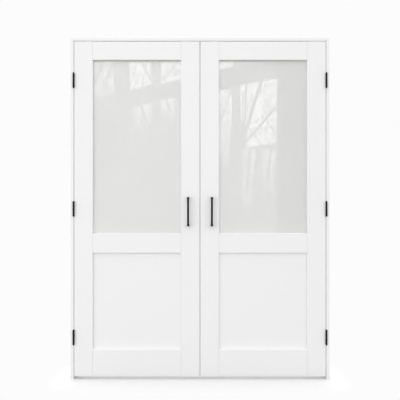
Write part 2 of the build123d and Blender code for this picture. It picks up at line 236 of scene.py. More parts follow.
def make_sprayed_finish():
    """A drifting tone and gloss, with the fine orange peel of a sprayed film."""
    group, given, result = empty_group(
        "sprayed finish",
        (("Colour", COLOUR, PALE), ("Drift", NUMBER, 0.02), ("Drift Scale", NUMBER, 6.0),
         ("Roughness", NUMBER, 0.4), ("Peel Scale", NUMBER, 400.0), ("Peel Depth", NUMBER, 0.05)),
        (("Colour", COLOUR), ("Roughness", NUMBER), ("Normal", DIRECTION)),
    )
    place = group.nodes.new("ShaderNodeTexCoord").outputs["Object"]
    drift = add_node(group, "ShaderNodeTexNoise", in_Vector=place, in_Detail=3.0, in_Roughness=0.6,
                     in_Scale=given.outputs["Drift Scale"])
    centred = add_math(group, "SUBTRACT", drift.outputs["Fac"], 0.5)
    swing = add_math(group, "MULTIPLY_ADD", centred, given.outputs["Drift"], 1.0)
    gloss = add_math(group, "MULTIPLY_ADD", centred, GLOSS_DRIFT, given.outputs["Roughness"])
    feed(group, result.inputs["Colour"], scale_colour(group, given.outputs["Colour"], swing))
    feed(group, result.inputs["Roughness"], gloss)

    peel = add_node(group, "ShaderNodeTexNoise", in_Vector=place, in_Detail=2.0, in_Roughness=0.5,
                    in_Scale=given.outputs["Peel Scale"])
    bump = add_node(group, "ShaderNodeBump", in_Distance=PEEL_HEIGHT, in_Height=peel.outputs["Fac"],
                    in_Strength=given.outputs["Peel Depth"])
    feed(group, result.inputs["Normal"], bump.outputs["Normal"])
    return group


sprayed_finish = make_sprayed_finish()
print("sprayed finish:", len(sprayed_finish.nodes), "nodes")

# %% [markdown]
# Each sprayed material is then one shader with the group in front of it, which feeds it a colour,
# a roughness and a normal. The shader stays outside the group, so that other programs can read
# its plain values.

# %% Put the sprayed finish in front of a shader
def sprayed_material(name, colour, values, **principled):
    """A painted or powder-coated material: the sprayed finish group feeding one shader."""
    material, shader = new_material(name, **principled)
    tree = material.node_tree
    skin = add_node(tree, "ShaderNodeGroup", node_tree=sprayed_finish)
    skin.inputs["Colour"].default_value = colour
    for socket, value in values.items():
        skin.inputs[socket].default_value = value
    for made, wanted in (("Colour", "Base Color"), ("Roughness", "Roughness"), ("Normal", "Normal")):
        feed(tree, shader.inputs[wanted], skin.outputs[made])
    print(name + ": roughness", values["Roughness"], "with", len(tree.nodes), "nodes")
    return material

# %% [markdown]
# ## Painted fold shade as a node group
# The V joints where rails meet stiles, the reveals and the ground round a screw lie in shade. A
# second group measures how closed in a place is, a few millimetres round it, and puts out a
# darker colour there: this is painted shade. A texture drawn along each joint would do the same,
# but this way needs no drawing and follows every solid.

# %% Build the painted fold shade group
CREASE_SAMPLES = 8


def make_painted_fold_shade():
    """Painted shade: a colour that is darker where the surface lies in a fold, up to Reach from its sides."""
    group, given, result = empty_group(
        "crease",
        (("Colour", COLOUR, PALE), ("Reach", NUMBER, 6 * MM), ("Depth", NUMBER, 0.3)),
        (("Colour", COLOUR),),
    )
    openness = add_node(group, "ShaderNodeAmbientOcclusion", samples=CREASE_SAMPLES,
                        in_Distance=given.outputs["Reach"])
    closed = add_math(group, "SUBTRACT", 1.0, openness.outputs["AO"])
    darker = add_math(group, "MULTIPLY", closed, given.outputs["Depth"])
    kept = add_math(group, "SUBTRACT", 1.0, darker)
    feed(group, result.inputs["Colour"], scale_colour(group, given.outputs["Colour"], kept))
    return group


crease = make_painted_fold_shade()


def add_painted_fold_shade(material, reach, depth):
    """Put the painted fold shade group between a sprayed finish and the shader's base colour."""
    tree = material.node_tree
    skin = find_node(tree, "ShaderNodeGroup")
    shader = find_node(tree, "ShaderNodeBsdfPrincipled")
    folds = add_node(tree, "ShaderNodeGroup", node_tree=crease, in_Reach=reach, in_Depth=depth,
                     in_Colour=skin.outputs["Colour"])
    feed(tree, shader.inputs["Base Color"], folds.outputs["Colour"])


print("crease:", len(crease.nodes), "nodes")

# %% [markdown]
# ## White paint
# The timber is factory painted: a satin white, hardly warmer than the backdrop. Plain white with
# one roughness would look like plastic. Satin paint is a rough base under a thin clear film, so a
# low coat weight gives the soft sheen that follows the edges of the stiles and rails.

# %% Make the white paint
white_paint = sprayed_material(
    "satin white paint", grey(243, 0.001),
    {"Drift": 0.02, "Drift Scale": 3.0, "Roughness": 0.42, "Peel Scale": 260.0, "Peel Depth": 0.12},
    Specular_IOR_Level=0.35, Coat_Weight=0.12, Coat_Roughness=0.25,
)
# Painted shade in the V joints, reveals and other folds of the white paint, up to 3 mm from their sides.
add_painted_fold_shade(white_paint, reach=3 * MM, depth=0.42)

# %% [markdown]
# ## Matte black metal
# Hinges, strike plates and pulls are steel with a fine matte powder coat. It is dark grey and
# not pure black, because a powder coat scatters some light at every angle. Its grain is finer
# than that of paint, so the same group is used with a larger scale and a deeper peel.

# %% Make the black coat
black_coat = sprayed_material(
    "matte black powder coat", grey(20),
    {"Drift": 0.15, "Drift Scale": 30.0, "Roughness": 0.58, "Peel Scale": 1800.0, "Peel Depth": 0.35},
    Specular_IOR_Level=0.22,
)
# Painted shade round the screws and in the folds of the black metal.
add_painted_fold_shade(black_coat, reach=3 * MM, depth=0.4)

# %% [markdown]
# ## Plain steel
# Catches and hidden screws are zinc plated. They show only when a leaf stands open, as a soft
# grey metal with a slightly uneven film.

# %% Make the plated steel
plated_steel = sprayed_material(
    "plated steel", grey(190),
    {"Drift": 0.2, "Drift Scale": 60.0, "Roughness": 0.3, "Peel Scale": 900.0, "Peel Depth": 0.1},
    Metallic=1.0,
)

# %% [markdown]
# ## Grey rubber
# The seals on the meeting edges are soft grey rubber. It is nearly matt, and a little dust in
# its pores makes the tone uneven.

# %% Make the rubber
grey_rubber = sprayed_material(
    "grey rubber", grey(176),
    {"Drift": 0.25, "Drift Scale": 90.0, "Roughness": 0.75, "Peel Scale": 1200.0, "Peel Depth": 0.3},
    Specular_IOR_Level=0.2,
)

# %% [markdown]
# ## Frosted glass
# The panes are glass that was etched on one side: nobody sees through it, it takes soft shadows
# like a sheet of paper, and its smooth front still mirrors the room. Clear glass would show no
# shadow, and rough glass alone would blur the reflection. So the shader has a rough base, which
# passes part of the light on and scatters the rest, under a full and almost smooth coat.

# %% Make the frosted glass
GLASS_CLOUDY, GLASS_CLEARER = (0.93, 0.93, 0.918, 1), (0.95, 0.95, 0.938, 1)
ETCH_DEPTH = 0.2 * MM

glass, glass_shader = new_material(
    "frosted glass", Roughness=0.55, IOR=1.5, Specular_IOR_Level=0.1, Transmission_Weight=0.35,
    Coat_Weight=1.0, Coat_Roughness=0.012, Coat_IOR=2.4,
)
glass_tree = glass.node_tree
glass_place = add_node(glass_tree, "ShaderNodeTexCoord").outputs["Object"]
glass_cloud = add_node(glass_tree, "ShaderNodeTexNoise", in_Vector=glass_place, in_Detail=1.0,
                       in_Scale=3.0)
glass_tint = add_node(glass_tree, "ShaderNodeMix", data_type="RGBA", in_Factor=glass_cloud.outputs["Fac"],
                      in_A=GLASS_CLOUDY, in_B=GLASS_CLEARER)
feed(glass_tree, glass_shader.inputs["Base Color"], glass_tint.outputs["Result"])
print("frosted glass: tint between", GLASS_CLOUDY[0], "and", GLASS_CLEARER[0])

# %% Give the glass its etched grain
glass_grain = add_node(glass_tree, "ShaderNodeTexNoise", in_Vector=glass_place, in_Detail=2.0,
                       in_Scale=900.0)
glass_bump = add_node(glass_tree, "ShaderNodeBump", in_Height=glass_grain.outputs["Fac"],
                      in_Strength=0.1, in_Distance=ETCH_DEPTH)
feed(glass_tree, glass_shader.inputs["Normal"], glass_bump.outputs["Normal"])
print("etched grain", round(ETCH_DEPTH / MM, 2), "mm deep at most")

# %% [markdown]
# ## Give each solid its finish
# The record already says which slot each solid belongs to. Names could be searched for words such
# as pane or hinge instead, but the slot is what the rest of the workshop goes by.

# %% Assign the finishes
finishes = {"white_paint": white_paint, "glass": glass, "black_metal": black_coat,
            "bright_steel": plated_steel, "grey_seal": grey_rubber}
for row in frame["record"]["subparts"]:
    solid = nodes[row["node"]]
    solid.data.materials.clear()
    solid.data.materials.append(finishes[row["material_slot"]])
print("finishes set on", len(nodes), "solids")

# %% [markdown]
# ## Small round parts with Geometry Nodes
# A hinge barrel, a screw head and a pin tip are turned shapes that repeat many times. They could
# be copied by hand. One tree does it for all: it puts a copy of a pattern on every point of a
# carrier mesh, and a direction on each point says which way the copy faces. Screws also get a
# turn of their own, as a driver leaves them.

# %% Build the tree that puts a piece on every point
TURN_SEED = 7
LARGEST, DRAWN = 3, 1  # the sockets of a random number: its upper limit and its result


def placing_sockets(tree):
    """The named inputs and the output of the placing tree."""
    for name, kind in (("Geometry", "NodeSocketGeometry"), ("Piece", "NodeSocketObject"),
                       ("Finish", "NodeSocketMaterial"), ("Random Turn", "NodeSocketFloat")):
        tree.interface.new_socket(name, in_out="INPUT", socket_type=kind)
    tree.interface.new_socket("Geometry", in_out="OUTPUT", socket_type="NodeSocketGeometry")


def placing_turn(tree, given):
    """The turn of each copy: its Z along 'facing', then a random turn about that axis."""
    facing = add_node(tree, "GeometryNodeInputNamedAttribute", data_type="FLOAT_VECTOR", in_Name="facing")
    aim = add_node(tree, "FunctionNodeAlignRotationToVector", axis="Z",
                   in_Vector=facing.outputs["Attribute"])
    spin = add_node(tree, "FunctionNodeRandomValue", data_type="FLOAT", in_Seed=TURN_SEED)
    feed(tree, spin.inputs[LARGEST], given.outputs["Random Turn"])
    about = add_node(tree, "ShaderNodeCombineXYZ", in_Z=spin.outputs[DRAWN])
    turned = add_node(tree, "FunctionNodeRotateRotation", rotation_space="LOCAL",
                      in_Rotation=aim.outputs["Rotation"], in_Rotate_By=about.outputs["Vector"])
    return turned.outputs["Rotation"]


def make_placing_tree(name):
    """A geometry tree: one copy of the Piece on every point, turned so that its Z follows 'facing'."""
    tree = bpy.data.node_groups.new(name, "GeometryNodeTree")
    placing_sockets(tree)
    given = tree.nodes.new("NodeGroupInput")
    result = tree.nodes.new("NodeGroupOutput")
    piece = add_node(tree, "GeometryNodeObjectInfo", transform_space="ORIGINAL",
                     in_Object=given.outputs["Piece"])
    copies = add_node(tree, "GeometryNodeInstanceOnPoints", in_Points=given.outputs["Geometry"],
                      in_Instance=piece.outputs["Geometry"], in_Rotation=placing_turn(tree, given))
    real = add_node(tree, "GeometryNodeRealizeInstances", in_Geometry=copies.outputs["Instances"])
    finish = add_node(tree, "GeometryNodeSetMaterial", in_Geometry=real.outputs["Geometry"],
                      in_Material=given.outputs["Finish"])
    feed(tree, result.inputs["Geometry"], finish.outputs["Geometry"])
    return tree


placing_tree = make_placing_tree("place a piece on every point")
print("placing tree:", len(placing_tree.nodes), "nodes")

# %% [markdown]
# The tree works on a carrier, a mesh of bare points with the facing of each stored beside it.
# What comes out is kept as a plain mesh, because the part is used where no tree can run.

# %% Place copies and keep them as one mesh
def set_input(modifier, name, value):
    """Set a modifier's input by the identifier of the socket that has this name."""
    for item in modifier.node_group.interface.items_tree:
        if item.item_type == "SOCKET" and item.in_out == "INPUT" and item.name == name:
            modifier[item.identifier] = value


def plain_object(name, mesh):
    """An object at the origin that shows the mesh."""
    shown = bpy.data.objects.new(name, mesh)
    bpy.context.collection.objects.link(shown)
    return shown


def place_pieces(name, pattern, spots, slot, body, random_turn=0.0):
    """One mesh with a copy of the pattern at each (place, facing), riding on a body."""
    mesh = bpy.data.meshes.new(name + " spots")
    mesh.from_pydata([place for place, facing in spots], [], [])
    directions = mesh.attributes.new("facing", "FLOAT_VECTOR", "POINT")
    for index, (place, facing) in enumerate(spots):
        directions.data[index].vector = facing
    carrier = plain_object(name + " carrier", mesh)
    modifier = carrier.modifiers.new("place", "NODES")
    modifier.node_group = placing_tree
    set_input(modifier, "Piece", pattern)
    set_input(modifier, "Finish", finishes[slot])
    set_input(modifier, "Random Turn", random_turn)
    depsgraph = bpy.context.evaluated_depsgraph_get()
    made = bpy.data.meshes.new_from_object(carrier.evaluated_get(depsgraph))
    made.name = name
    bpy.data.objects.remove(carrier)
    shown = plain_object(name, made)
    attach(shown, body)
    print(name, len(spots), "copies,", len(made.polygons), "faces")
    return shown

# %% [markdown]
# ## Turned patterns
# The pattern for a turned part is its half outline, from the axis outwards and back, spun in
# steps about Z. A Screw modifier would spin it too, but mesh code keeps the rounded edges and the
# poles under control. The pattern is a template, and is taken out again at the end.

# %% Turn a half outline into a closed pattern
ON_AXIS = 1e-9


def finished_pattern(shape, name, sharp_from=None):
    """Turn mesh code into an object, smooth where faces meet at less than an angle in degrees."""
    mesh = bpy.data.meshes.new(name)
    shape.to_mesh(mesh)
    shape.free()
    if sharp_from is not None:
        for polygon in mesh.polygons:
            polygon.use_smooth = True
        mesh.set_sharp_from_angle(angle=math.radians(sharp_from))
    print(name, len(mesh.polygons), "faces")
    return plain_object(name, mesh)


def ring_of(shape, radius, height, steps):
    """Corners spread evenly round the axis, or the one corner on it."""
    if radius < ON_AXIS:
        return [shape.verts.new((0, 0, height))]
    corners = []
    for step in range(steps):
        angle = 2 * math.pi * step / steps
        corners.append(shape.verts.new((radius * math.cos(angle), radius * math.sin(angle), height)))
    return corners


def turned_pattern(name, outline, steps):
    """A mesh turned about Z from (radius, height) points; its ends lie on the axis."""
    shape = bmesh.new()
    rings = [ring_of(shape, radius, height, steps) for radius, height in outline]
    for lower, upper in zip(rings, rings[1:]):
        for step in range(max(len(lower), len(upper))):
            corners = [lower[step % len(lower)], lower[(step + 1) % len(lower)],
                       upper[(step + 1) % len(upper)], upper[step % len(upper)]]
            shape.faces.new(list(dict.fromkeys(corners)))
    bmesh.ops.recalc_face_normals(shape, faces=shape.faces)
    return finished_pattern(shape, name, sharp_from=40)


def rounded_rod(radius, length, edge, arc_steps=3):
    """The half outline of a rod with rounded ends, centred on the origin."""
    points = [(0, -length / 2)]
    for sign in (-1, 1):
        arc = []
        for step in range(arc_steps + 1):
            angle = math.pi / 2 * step / arc_steps
            out, along = edge * math.sin(angle), edge * math.cos(angle)
            arc.append((radius - edge + out, sign * (length / 2 - edge + along)))
        points += arc if sign < 0 else arc[::-1]
    return points + [(0, length / 2)]

# %% [markdown]
# ## Hinge barrels
# Each hinge has five knuckles on one pin, three of the jamb's and two of the leaf's. The solids
# have them with flats. Here each gets a round sleeve with a softened edge, a hair larger than
# the flats. It covers the solid one and doesn't replace it, as plate and knuckle are one piece.

# %% Measure the hinges
KNUCKLES = 5
KNUCKLE_GAP = 0.4 * MM
BARREL_RADIUS = 5.56 * MM
KNUCKLE_EDGE = 0.5 * MM
ROUND_STEPS = 32

hinge_spans = []
for place in ("bottom", "middle", "top"):
    plate_low, plate_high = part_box(f"hinge_{place}_jamb_plate_left")
    hinge_spans.append((plate_low[2], plate_high[2]))
pitch = (hinge_spans[-1][1] - hinge_spans[-1][0]) / KNUCKLES
pin_low, pin_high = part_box("hinge_pins_left")
left_pin_x = (pin_low[0] + pin_high[0]) / 2
pin_y = (pin_low[1] + pin_high[1]) / 2
pin_places = {"left": left_pin_x, "right": -left_pin_x}
print("a knuckle every", round(pitch / MM, 1), "mm, pins at x", round(left_pin_x, 4))

# %% Put a round sleeve on each knuckle
knuckle_outline = rounded_rod(BARREL_RADIUS, pitch - KNUCKLE_GAP, KNUCKLE_EDGE)
knuckle = turned_pattern("knuckle pattern", knuckle_outline, ROUND_STEPS)
JAMB_KNUCKLES, LEAF_KNUCKLES = (0, 2, 4), (1, 3)


def knuckle_spots(side, own):
    """The middles of one side's knuckles, of those that belong to one plate."""
    return [((pin_places[side], pin_y, low + (index + 0.5) * pitch), UP)
            for low, high in hinge_spans for index in own]


jamb_spots = [spot for side in SIDES for spot in knuckle_spots(side, JAMB_KNUCKLES)]
place_pieces("jamb_knuckles", knuckle, jamb_spots, "black_metal", "frame")
for side in SIDES:
    leaf_spots = knuckle_spots(side, LEAF_KNUCKLES)
    place_pieces(f"leaf_knuckles_{side}", knuckle, leaf_spots, "black_metal", f"{side}_leaf")

# %% [markdown]
# A pin ends above and below its barrel in a low dome, so that it can't slip through and no hand
# catches on it. A sphere would stand too tall, so the dome has an outline of its own.

# %% Cap the pins
TIP_RADIUS = 4.4 * MM
TIP_HEIGHT = 2.6 * MM
TIP_SHARES = ((0, 1), (0.6, 0.94), (0.9, 0.68), (1, 0.3), (1, 0), (0, 0))

tip_outline = [(TIP_RADIUS * out, TIP_HEIGHT * up) for out, up in TIP_SHARES]
tip = turned_pattern("pin tip pattern", tip_outline, ROUND_STEPS)
tip_spots = []
for side in SIDES:
    for low, high in hinge_spans:
        tip_spots += [((pin_places[side], pin_y, high), UP), ((pin_places[side], pin_y, low), DOWN)]
place_pieces("pin_tips", tip, tip_spots, "black_metal", "frame")

# %% [markdown]
# ## Screws
# A countersunk screw shows a flat disc with a cross recess. A dark mark painted on would vanish
# in a close view. So the rings of the head are turned, and the recess is a cross of twelve
# corners that is sunk to a smaller cross, which keeps the mesh closed. The same head serves
# hinges, strike plates, frame and pulls in other sizes.

# %% Sink a cross into the face of a screw
SCREW_STEPS = 24
ARMS = 4
CROSS_REACH, CROSS_HALF, CROSS_TAPER = 0.6, 0.13, 0.7


def cross_mouth(shape, radius, sink):
    """Two rings of corners, the mouth of a cross recess at Z 0 and its smaller floor below it."""
    arm, half = radius * CROSS_REACH, radius * CROSS_HALF
    mouth, bed = [], []
    for quarter in range(ARMS):
        turn = Matrix.Rotation(quarter * math.pi / 2, 3, "Z")
        for x, y in ((arm, -half), (arm, half), (half, half)):
            mouth.append(shape.verts.new(turn @ Vector((x, y, 0))))
            bed.append(shape.verts.new(turn @ Vector((x * CROSS_TAPER, y * CROSS_TAPER, -sink))))
    return mouth, bed


def face_round_mouth(shape, rim, mouth):
    """The flat face round the recess: a fan from each corner of the mouth to the rim beside it."""
    per_corner = SCREW_STEPS // ARMS
    quarter_turn = len(mouth) // ARMS
    for quarter in range(ARMS):
        low, high, inner = mouth[quarter * quarter_turn:(quarter + 1) * quarter_turn]
        start = quarter * per_corner
        shape.faces.new((low, rim[start], high))
        for step in range(per_corner):
            left, right = rim[start + step], rim[(start + step + 1) % SCREW_STEPS]
            shape.faces.new((high if step == 0 else inner, left, right))
        shape.faces.new((high, rim[start + 1], inner))
        following = mouth[(quarter + 1) * quarter_turn % len(mouth)]
        shape.faces.new((inner, rim[(start + per_corner) % SCREW_STEPS], following))


print("cross recess ready, arms", CROSS_REACH, "of the face's radius")

# %% Make the screws in their sizes
RIM_DROP = 0.15 * MM
POINT_RADIUS = 0.3 * MM


def cross_screw(name, flat, sink, outline):
    """A screw pattern: a flat face of this radius at Z 0, and (radius, height) rings to its end."""
    shape = bmesh.new()
    rings = [ring_of(shape, radius, height, SCREW_STEPS) for radius, height in [(flat, 0)] + outline]
    mouth, bed = cross_mouth(shape, flat, sink)
    for ring, deeper in list(zip(rings, rings[1:])) + [(mouth, bed)]:
        for index, corner in enumerate(ring):
            following = (index + 1) % len(ring)
            shape.faces.new((corner, ring[following], deeper[following], deeper[index]))
    shape.faces.new(rings[-1])
    shape.faces.new(bed)
    face_round_mouth(shape, rings[0], mouth)
    bmesh.ops.recalc_face_normals(shape, faces=shape.faces)
    return finished_pattern(shape, name)


def countersunk_screw(name, flat, sink, rim, shank, neck, thread, point):
    """A wood screw, its sizes in millimetres: a cone from the rim to the shank, and a point."""
    outline = [(rim * MM, -RIM_DROP), (shank * MM, -neck * MM), (shank * MM, -thread * MM),
               (POINT_RADIUS, -point * MM)]
    return cross_screw(name, flat * MM, sink * MM, outline)


hinge_screw = countersunk_screw("hinge screw pattern", flat=4.4, sink=1.3, rim=4.75, shank=2.0,
                                neck=2.2, thread=12, point=18)
strike_screw = countersunk_screw("strike screw pattern", flat=3.6, sink=1.0, rim=3.9, shank=1.6,
                                 neck=1.7, thread=9, point=13)
frame_screw = countersunk_screw("frame screw pattern", flat=4.9, sink=1.6, rim=5.3, shank=2.4,
                                neck=2.7, thread=38, point=47)

# %% [markdown]
# The screws stay where the solids have them. Their places could be typed in again, but then a
# changed hinge would leave them behind. So each screw solid is split into its islands, and the
# face of each island that looks outwards gives the place of its new head.

# %% Find the separate screws in a solid
SAME_PLACE = 1e-6
ROUNDED = 4


def island_of(vert, waiting):
    """The places of all corners that hang together with this one, taken out of those waiting."""
    waiting.discard(vert)
    stack, island = [vert], []
    while stack:
        vert = stack.pop()
        island.append(vert.co.copy())
        for edge in vert.link_edges:
            other = edge.other_vert(vert)
            if other in waiting:
                waiting.discard(other)
                stack.append(other)
    return island


def island_boxes(node):
    """The lowest and highest corner of each separate solid in a node, from the lowest up."""
    copy = bmesh.new()
    copy.from_mesh(nodes[node].data)
    bmesh.ops.remove_doubles(copy, verts=copy.verts, dist=SAME_PLACE)
    waiting, found = set(copy.verts), []
    while waiting:
        island = island_of(next(iter(waiting)), waiting)
        found.append((Vector(min(c) for c in zip(*island)), Vector(max(c) for c in zip(*island))))
    copy.free()
    return sorted(found, key=lambda box: [round(place, ROUNDED) for place in box[0].zxy])


print("screws in one hinge side:", len(island_boxes("hinge_screws_jamb_left")))

# %% Turn the places into spots for new heads
PROUD = 0.12 * MM


def head_spots(node, outwards):
    """Places on the outer face of each screw in a node, a hair proud of what it holds."""
    spots = []
    for low, high in island_boxes(node):
        middle = (low + high) / 2
        facing = Vector(outwards(middle))
        reach = (high - low).dot(Vector(map(abs, facing))) / 2
        spots.append((tuple(middle + facing * (reach + PROUD)), tuple(facing)))
    return spots


def replace_screws(name, pattern, node, outwards, slot, body):
    """Put turned screws in the place of the screws of one node."""
    spots = head_spots(node, outwards)
    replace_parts(place_pieces(name, pattern, spots, slot, body, random_turn=math.pi), node)

# %% Put the screws in
def outer_side(middle):
    """Away from the middle of the frame."""
    return (math.copysign(1, middle.x), 0, 0)


for side, inward in (("left", 1), ("right", -1)):
    for part, facing, body in (("jamb", inward, "frame"), ("leaf", -inward, f"{side}_leaf")):
        replace_screws(f"turned_hinge_screws_{part}_{side}", hinge_screw, f"hinge_screws_{part}_{side}",
                       lambda middle, x=facing: (x, 0, 0), "black_metal", body)
replace_screws("turned_strike_screws", strike_screw, "strike_screws", lambda middle: DOWN,
               "black_metal", "frame")
replace_screws("turned_frame_screws", frame_screw, "frame_screws", outer_side, "bright_steel", "frame")

# %% [markdown]
# ## The pulls
# A pull is a slim black bar on two square legs, sawn, welded and dressed with a file, so its
# corners are tight but none is sharp. A Bevel modifier would round every corner alike. So the
# outline is drawn from the side, with a larger arc outside than inside. It is then given its
# width, and a bevel runs round both sides, where a coated edge catches a thin line of light.

# %% Draw the side of the pull
PULL_GRIP = 9 * MM
PULL_LEG = 12 * MM
PULL_OUTER, PULL_INNER = 3.2 * MM, 1.6 * MM


def arc_corner(corner, before, after, radius, steps=4):
    """Points of a small arc in place of a corner between two square edges."""
    corner, before, after = Vector(corner), Vector(before), Vector(after)
    start, end = (before - corner).normalized(), (after - corner).normalized()
    centre = corner + (start + end) * radius
    points = []
    for step in range(steps + 1):
        angle = math.pi / 2 * step / steps
        points.append(centre - end * radius * math.cos(angle) - start * radius * math.sin(angle))
    return points


pull_low, pull_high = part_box("pull_left")
pull_size = Vector(pull_high) - Vector(pull_low)
reach, tall = pull_size.y, pull_size.z
side_corners = [((0, 0), None), ((-reach, 0), PULL_OUTER), ((-reach, tall), PULL_OUTER), ((0, tall), None),
                ((0, tall - PULL_LEG), None), ((-reach + PULL_GRIP, tall - PULL_LEG), PULL_INNER),
                ((-reach + PULL_GRIP, PULL_LEG), PULL_INNER), ((0, PULL_LEG), None)]
side_outline = []
for index, (corner, radius) in enumerate(side_corners):
    before, after = side_corners[index - 1][0], side_corners[(index + 1) % len(side_corners)][0]
    side_outline += arc_corner(corner, before, after, radius) if radius else [Vector(corner)]
print("pull outline:", len(side_outline), "points, reach", round(reach, 4), "height", round(tall, 4))

# %% Give the pull its width and its bevels
PULL_BEVEL = 0.9 * MM


def pull_pattern():
    """The pull standing at the origin, its feet on the plane Y 0."""
    shape = bmesh.new()
    half = pull_size.x / 2
    near = [shape.verts.new((-half, point.x, point.y)) for point in side_outline]
    far = [shape.verts.new((half, point.x, point.y)) for point in side_outline]
    shape.faces.new(near)
    shape.faces.new(far[::-1])
    count = len(near)
    for index in range(count):
        following = (index + 1) % count
        shape.faces.new((near[index], far[index], far[following], near[following]))
    bmesh.ops.recalc_face_normals(shape, faces=shape.faces)
    rims = [edge for edge in shape.edges
            if abs(edge.verts[0].co.x - edge.verts[1].co.x) < ON_AXIS
            and not all(abs(vert.co.y) < ON_AXIS for vert in edge.verts)]
    bmesh.ops.bevel(shape, geom=rims, offset=PULL_BEVEL, segments=2, profile=0.5, affect="EDGES")
    return finished_pattern(shape, "pull pattern", sharp_from=35)


pull = pull_pattern()
pull_x = (pull_low[0] + pull_high[0]) / 2
for side, x in (("left", pull_x), ("right", -pull_x)):
    foot = [((x, pull_high[1], pull_low[2]), UP)]
    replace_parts(place_pieces(f"bar_pull_{side}", pull, foot, "black_metal", f"{side}_leaf"), f"pull_{side}")

# %% [markdown]
# ## The bolts of the pulls
# Each pull is held from the back by two bolts with low round heads. They take the same cross
# recess, on a head that is rounded at its rim, so the screw pattern serves again.

# %% Put the bolts in
BOLT_RADIUS, BOLT_HEAD, BOLT_CROWN = 2.0 * MM, 6.0 * MM, 2.4 * MM
BOLT_FLAT, BOLT_SINK = 0.62, 1.3 * MM
BOLT_ROUND = ((0.82, 0.14), (0.95, 0.45), (1, 0.95))

bolt_low, bolt_high = island_boxes("pull_bolts_left")[0]
bolt_length = bolt_high.y - bolt_low.y
bolt_outline = [(BOLT_HEAD * out, -BOLT_CROWN * down) for out, down in BOLT_ROUND]
bolt_outline += [(BOLT_RADIUS, -BOLT_CROWN - PROUD / 2), (BOLT_RADIUS, -bolt_length)]
bolt = cross_screw("bolt pattern", BOLT_HEAD * BOLT_FLAT, BOLT_SINK, bolt_outline)
for side in SIDES:
    replace_screws(f"turned_pull_bolts_{side}", bolt, f"pull_bolts_{side}", lambda middle: (0, 1, 0),
                   "black_metal", f"{side}_leaf")

# %% [markdown]
# ## The room's reflection
# Glass in front of a plain white backdrop looks empty. In a real room it shows what stands
# across from it: here a tall window with bare trees outside. That could be painted on the glass,
# but then it would stay put when a leaf swings. So a card with the window stands behind the
# camera, and only reflections see it. Its places are worked out by mirroring: a point on the
# glass shows the card where the ray from the camera, bounced off the pane, meets it. What the
# glass shows of a dark card, and what each unit of glow adds to that, were measured once.

# %% Find where the glass shows each place of the card
CARD_DISTANCE = 3.0
GLASS_ALONE = 0.605
GLASS_PER_GLOW = 0.194

mirror_factor = 1 + CARD_DISTANCE / (pane_low[1] - camera_y)


def on_card(px, py):
    """The place on the card that is seen in the glass at this pixel of the picture."""
    x = (px - PICTURE_PX / 2) * metres_per_px
    z = (PICTURE_PX / 2 - py) * metres_per_px
    return x * mirror_factor, camera_height + z * mirror_factor


def glow_for(level):
    """How bright a place on the card is, so that the glass in front of it has this grey level."""
    return max(0.0, (srgb(level) - GLASS_ALONE) / GLASS_PER_GLOW)


print("mirror factor", round(mirror_factor, 3), "glow for the brightest pane", round(glow_for(245), 2))

# %% [markdown]
# The window is drawn as a few flat shapes, each with one grey level at every corner, so that a
# patch can fade along its length. Later shapes lie in front of earlier ones. First come the wall
# and the panes, then the branches as thin tapered strips.

# %% Draw the window and the branches
shapes = []


def patch(corners, levels):
    """A flat shape on the card: its corners in picture pixels, and one level or one per corner."""
    shapes.append((corners, levels if isinstance(levels, (tuple, list)) else (levels,) * len(corners)))


def branch(start, end, thick, thin, level):
    """A tapered strip from one place to another."""
    start, end = Vector(start), Vector(end)
    across = (end - start).normalized().orthogonal() / 2
    patch([start + across * thick, end + across * thin, end - across * thin, start - across * thick], level)


patch([(20, -40), (205, -40), (205, 330), (20, 330)], 226)
patch([(205, -40), (277, -40), (277, 330), (205, 330)], (223, 224, 226, 225))
patch([(277, -40), (281, -40), (281, 330), (277, 330)], (220, 216, 219, 222))
patch([(281, -40), (380, -40), (380, 330), (281, 330)], (216, 216, 218, 219))
patch([(93, 56), (113, 56), (113, 93), (93, 98)], (246, 244, 238, 235))
patch([(129, 56), (150, 56), (152, 83), (130, 90)], (252, 252, 248, 251))
patch([(161, 56), (182, 56), (181, 78), (161, 83)], (252, 252, 249, 248))
patch([(129, 92), (182, 80), (182, 97), (129, 106)], (225, 223, 224, 226))
patch([(132, 107), (152, 102), (152, 124), (132, 132)], (240, 245, 230, 230))
patch([(161, 100), (175, 97), (174, 116), (161, 122)], (242, 247, 232, 229))
patch([(131, 118), (135, 118), (135, 200), (131, 200)], (230, 229, 227, 228))
patch([(176, 110), (180, 110), (180, 225), (176, 225)], 229)
patch([(217, 56), (236, 56), (232, 66), (217, 70)], (254, 253, 248, 253))
patch([(242, 56), (258, 56), (252, 63), (242, 65)], (240, 236, 224, 232))
patch([(217, 70), (279, 62), (279, 78), (217, 90)], (220, 217, 223, 219))
patch([(217, 91), (232, 87), (232, 126), (217, 128)], (246, 251, 245, 248))
patch([(217, 128), (231, 126), (229, 166), (217, 168)], (245, 246, 230, 226))
patch([(240.5, 85), (245.5, 83), (244.5, 119), (241, 121)], (253, 253, 250, 245))
patch([(247.5, 83), (277.5, 78), (277, 143), (245, 147)], (251, 251, 247, 249))
patch([(241, 150), (256, 149), (252, 200), (243, 202)], (239, 242, 232, 233))
patch([(262, 150), (276, 149), (274, 192), (264, 194)], (237, 241, 230, 230))
print("window:", len(shapes), "shapes")

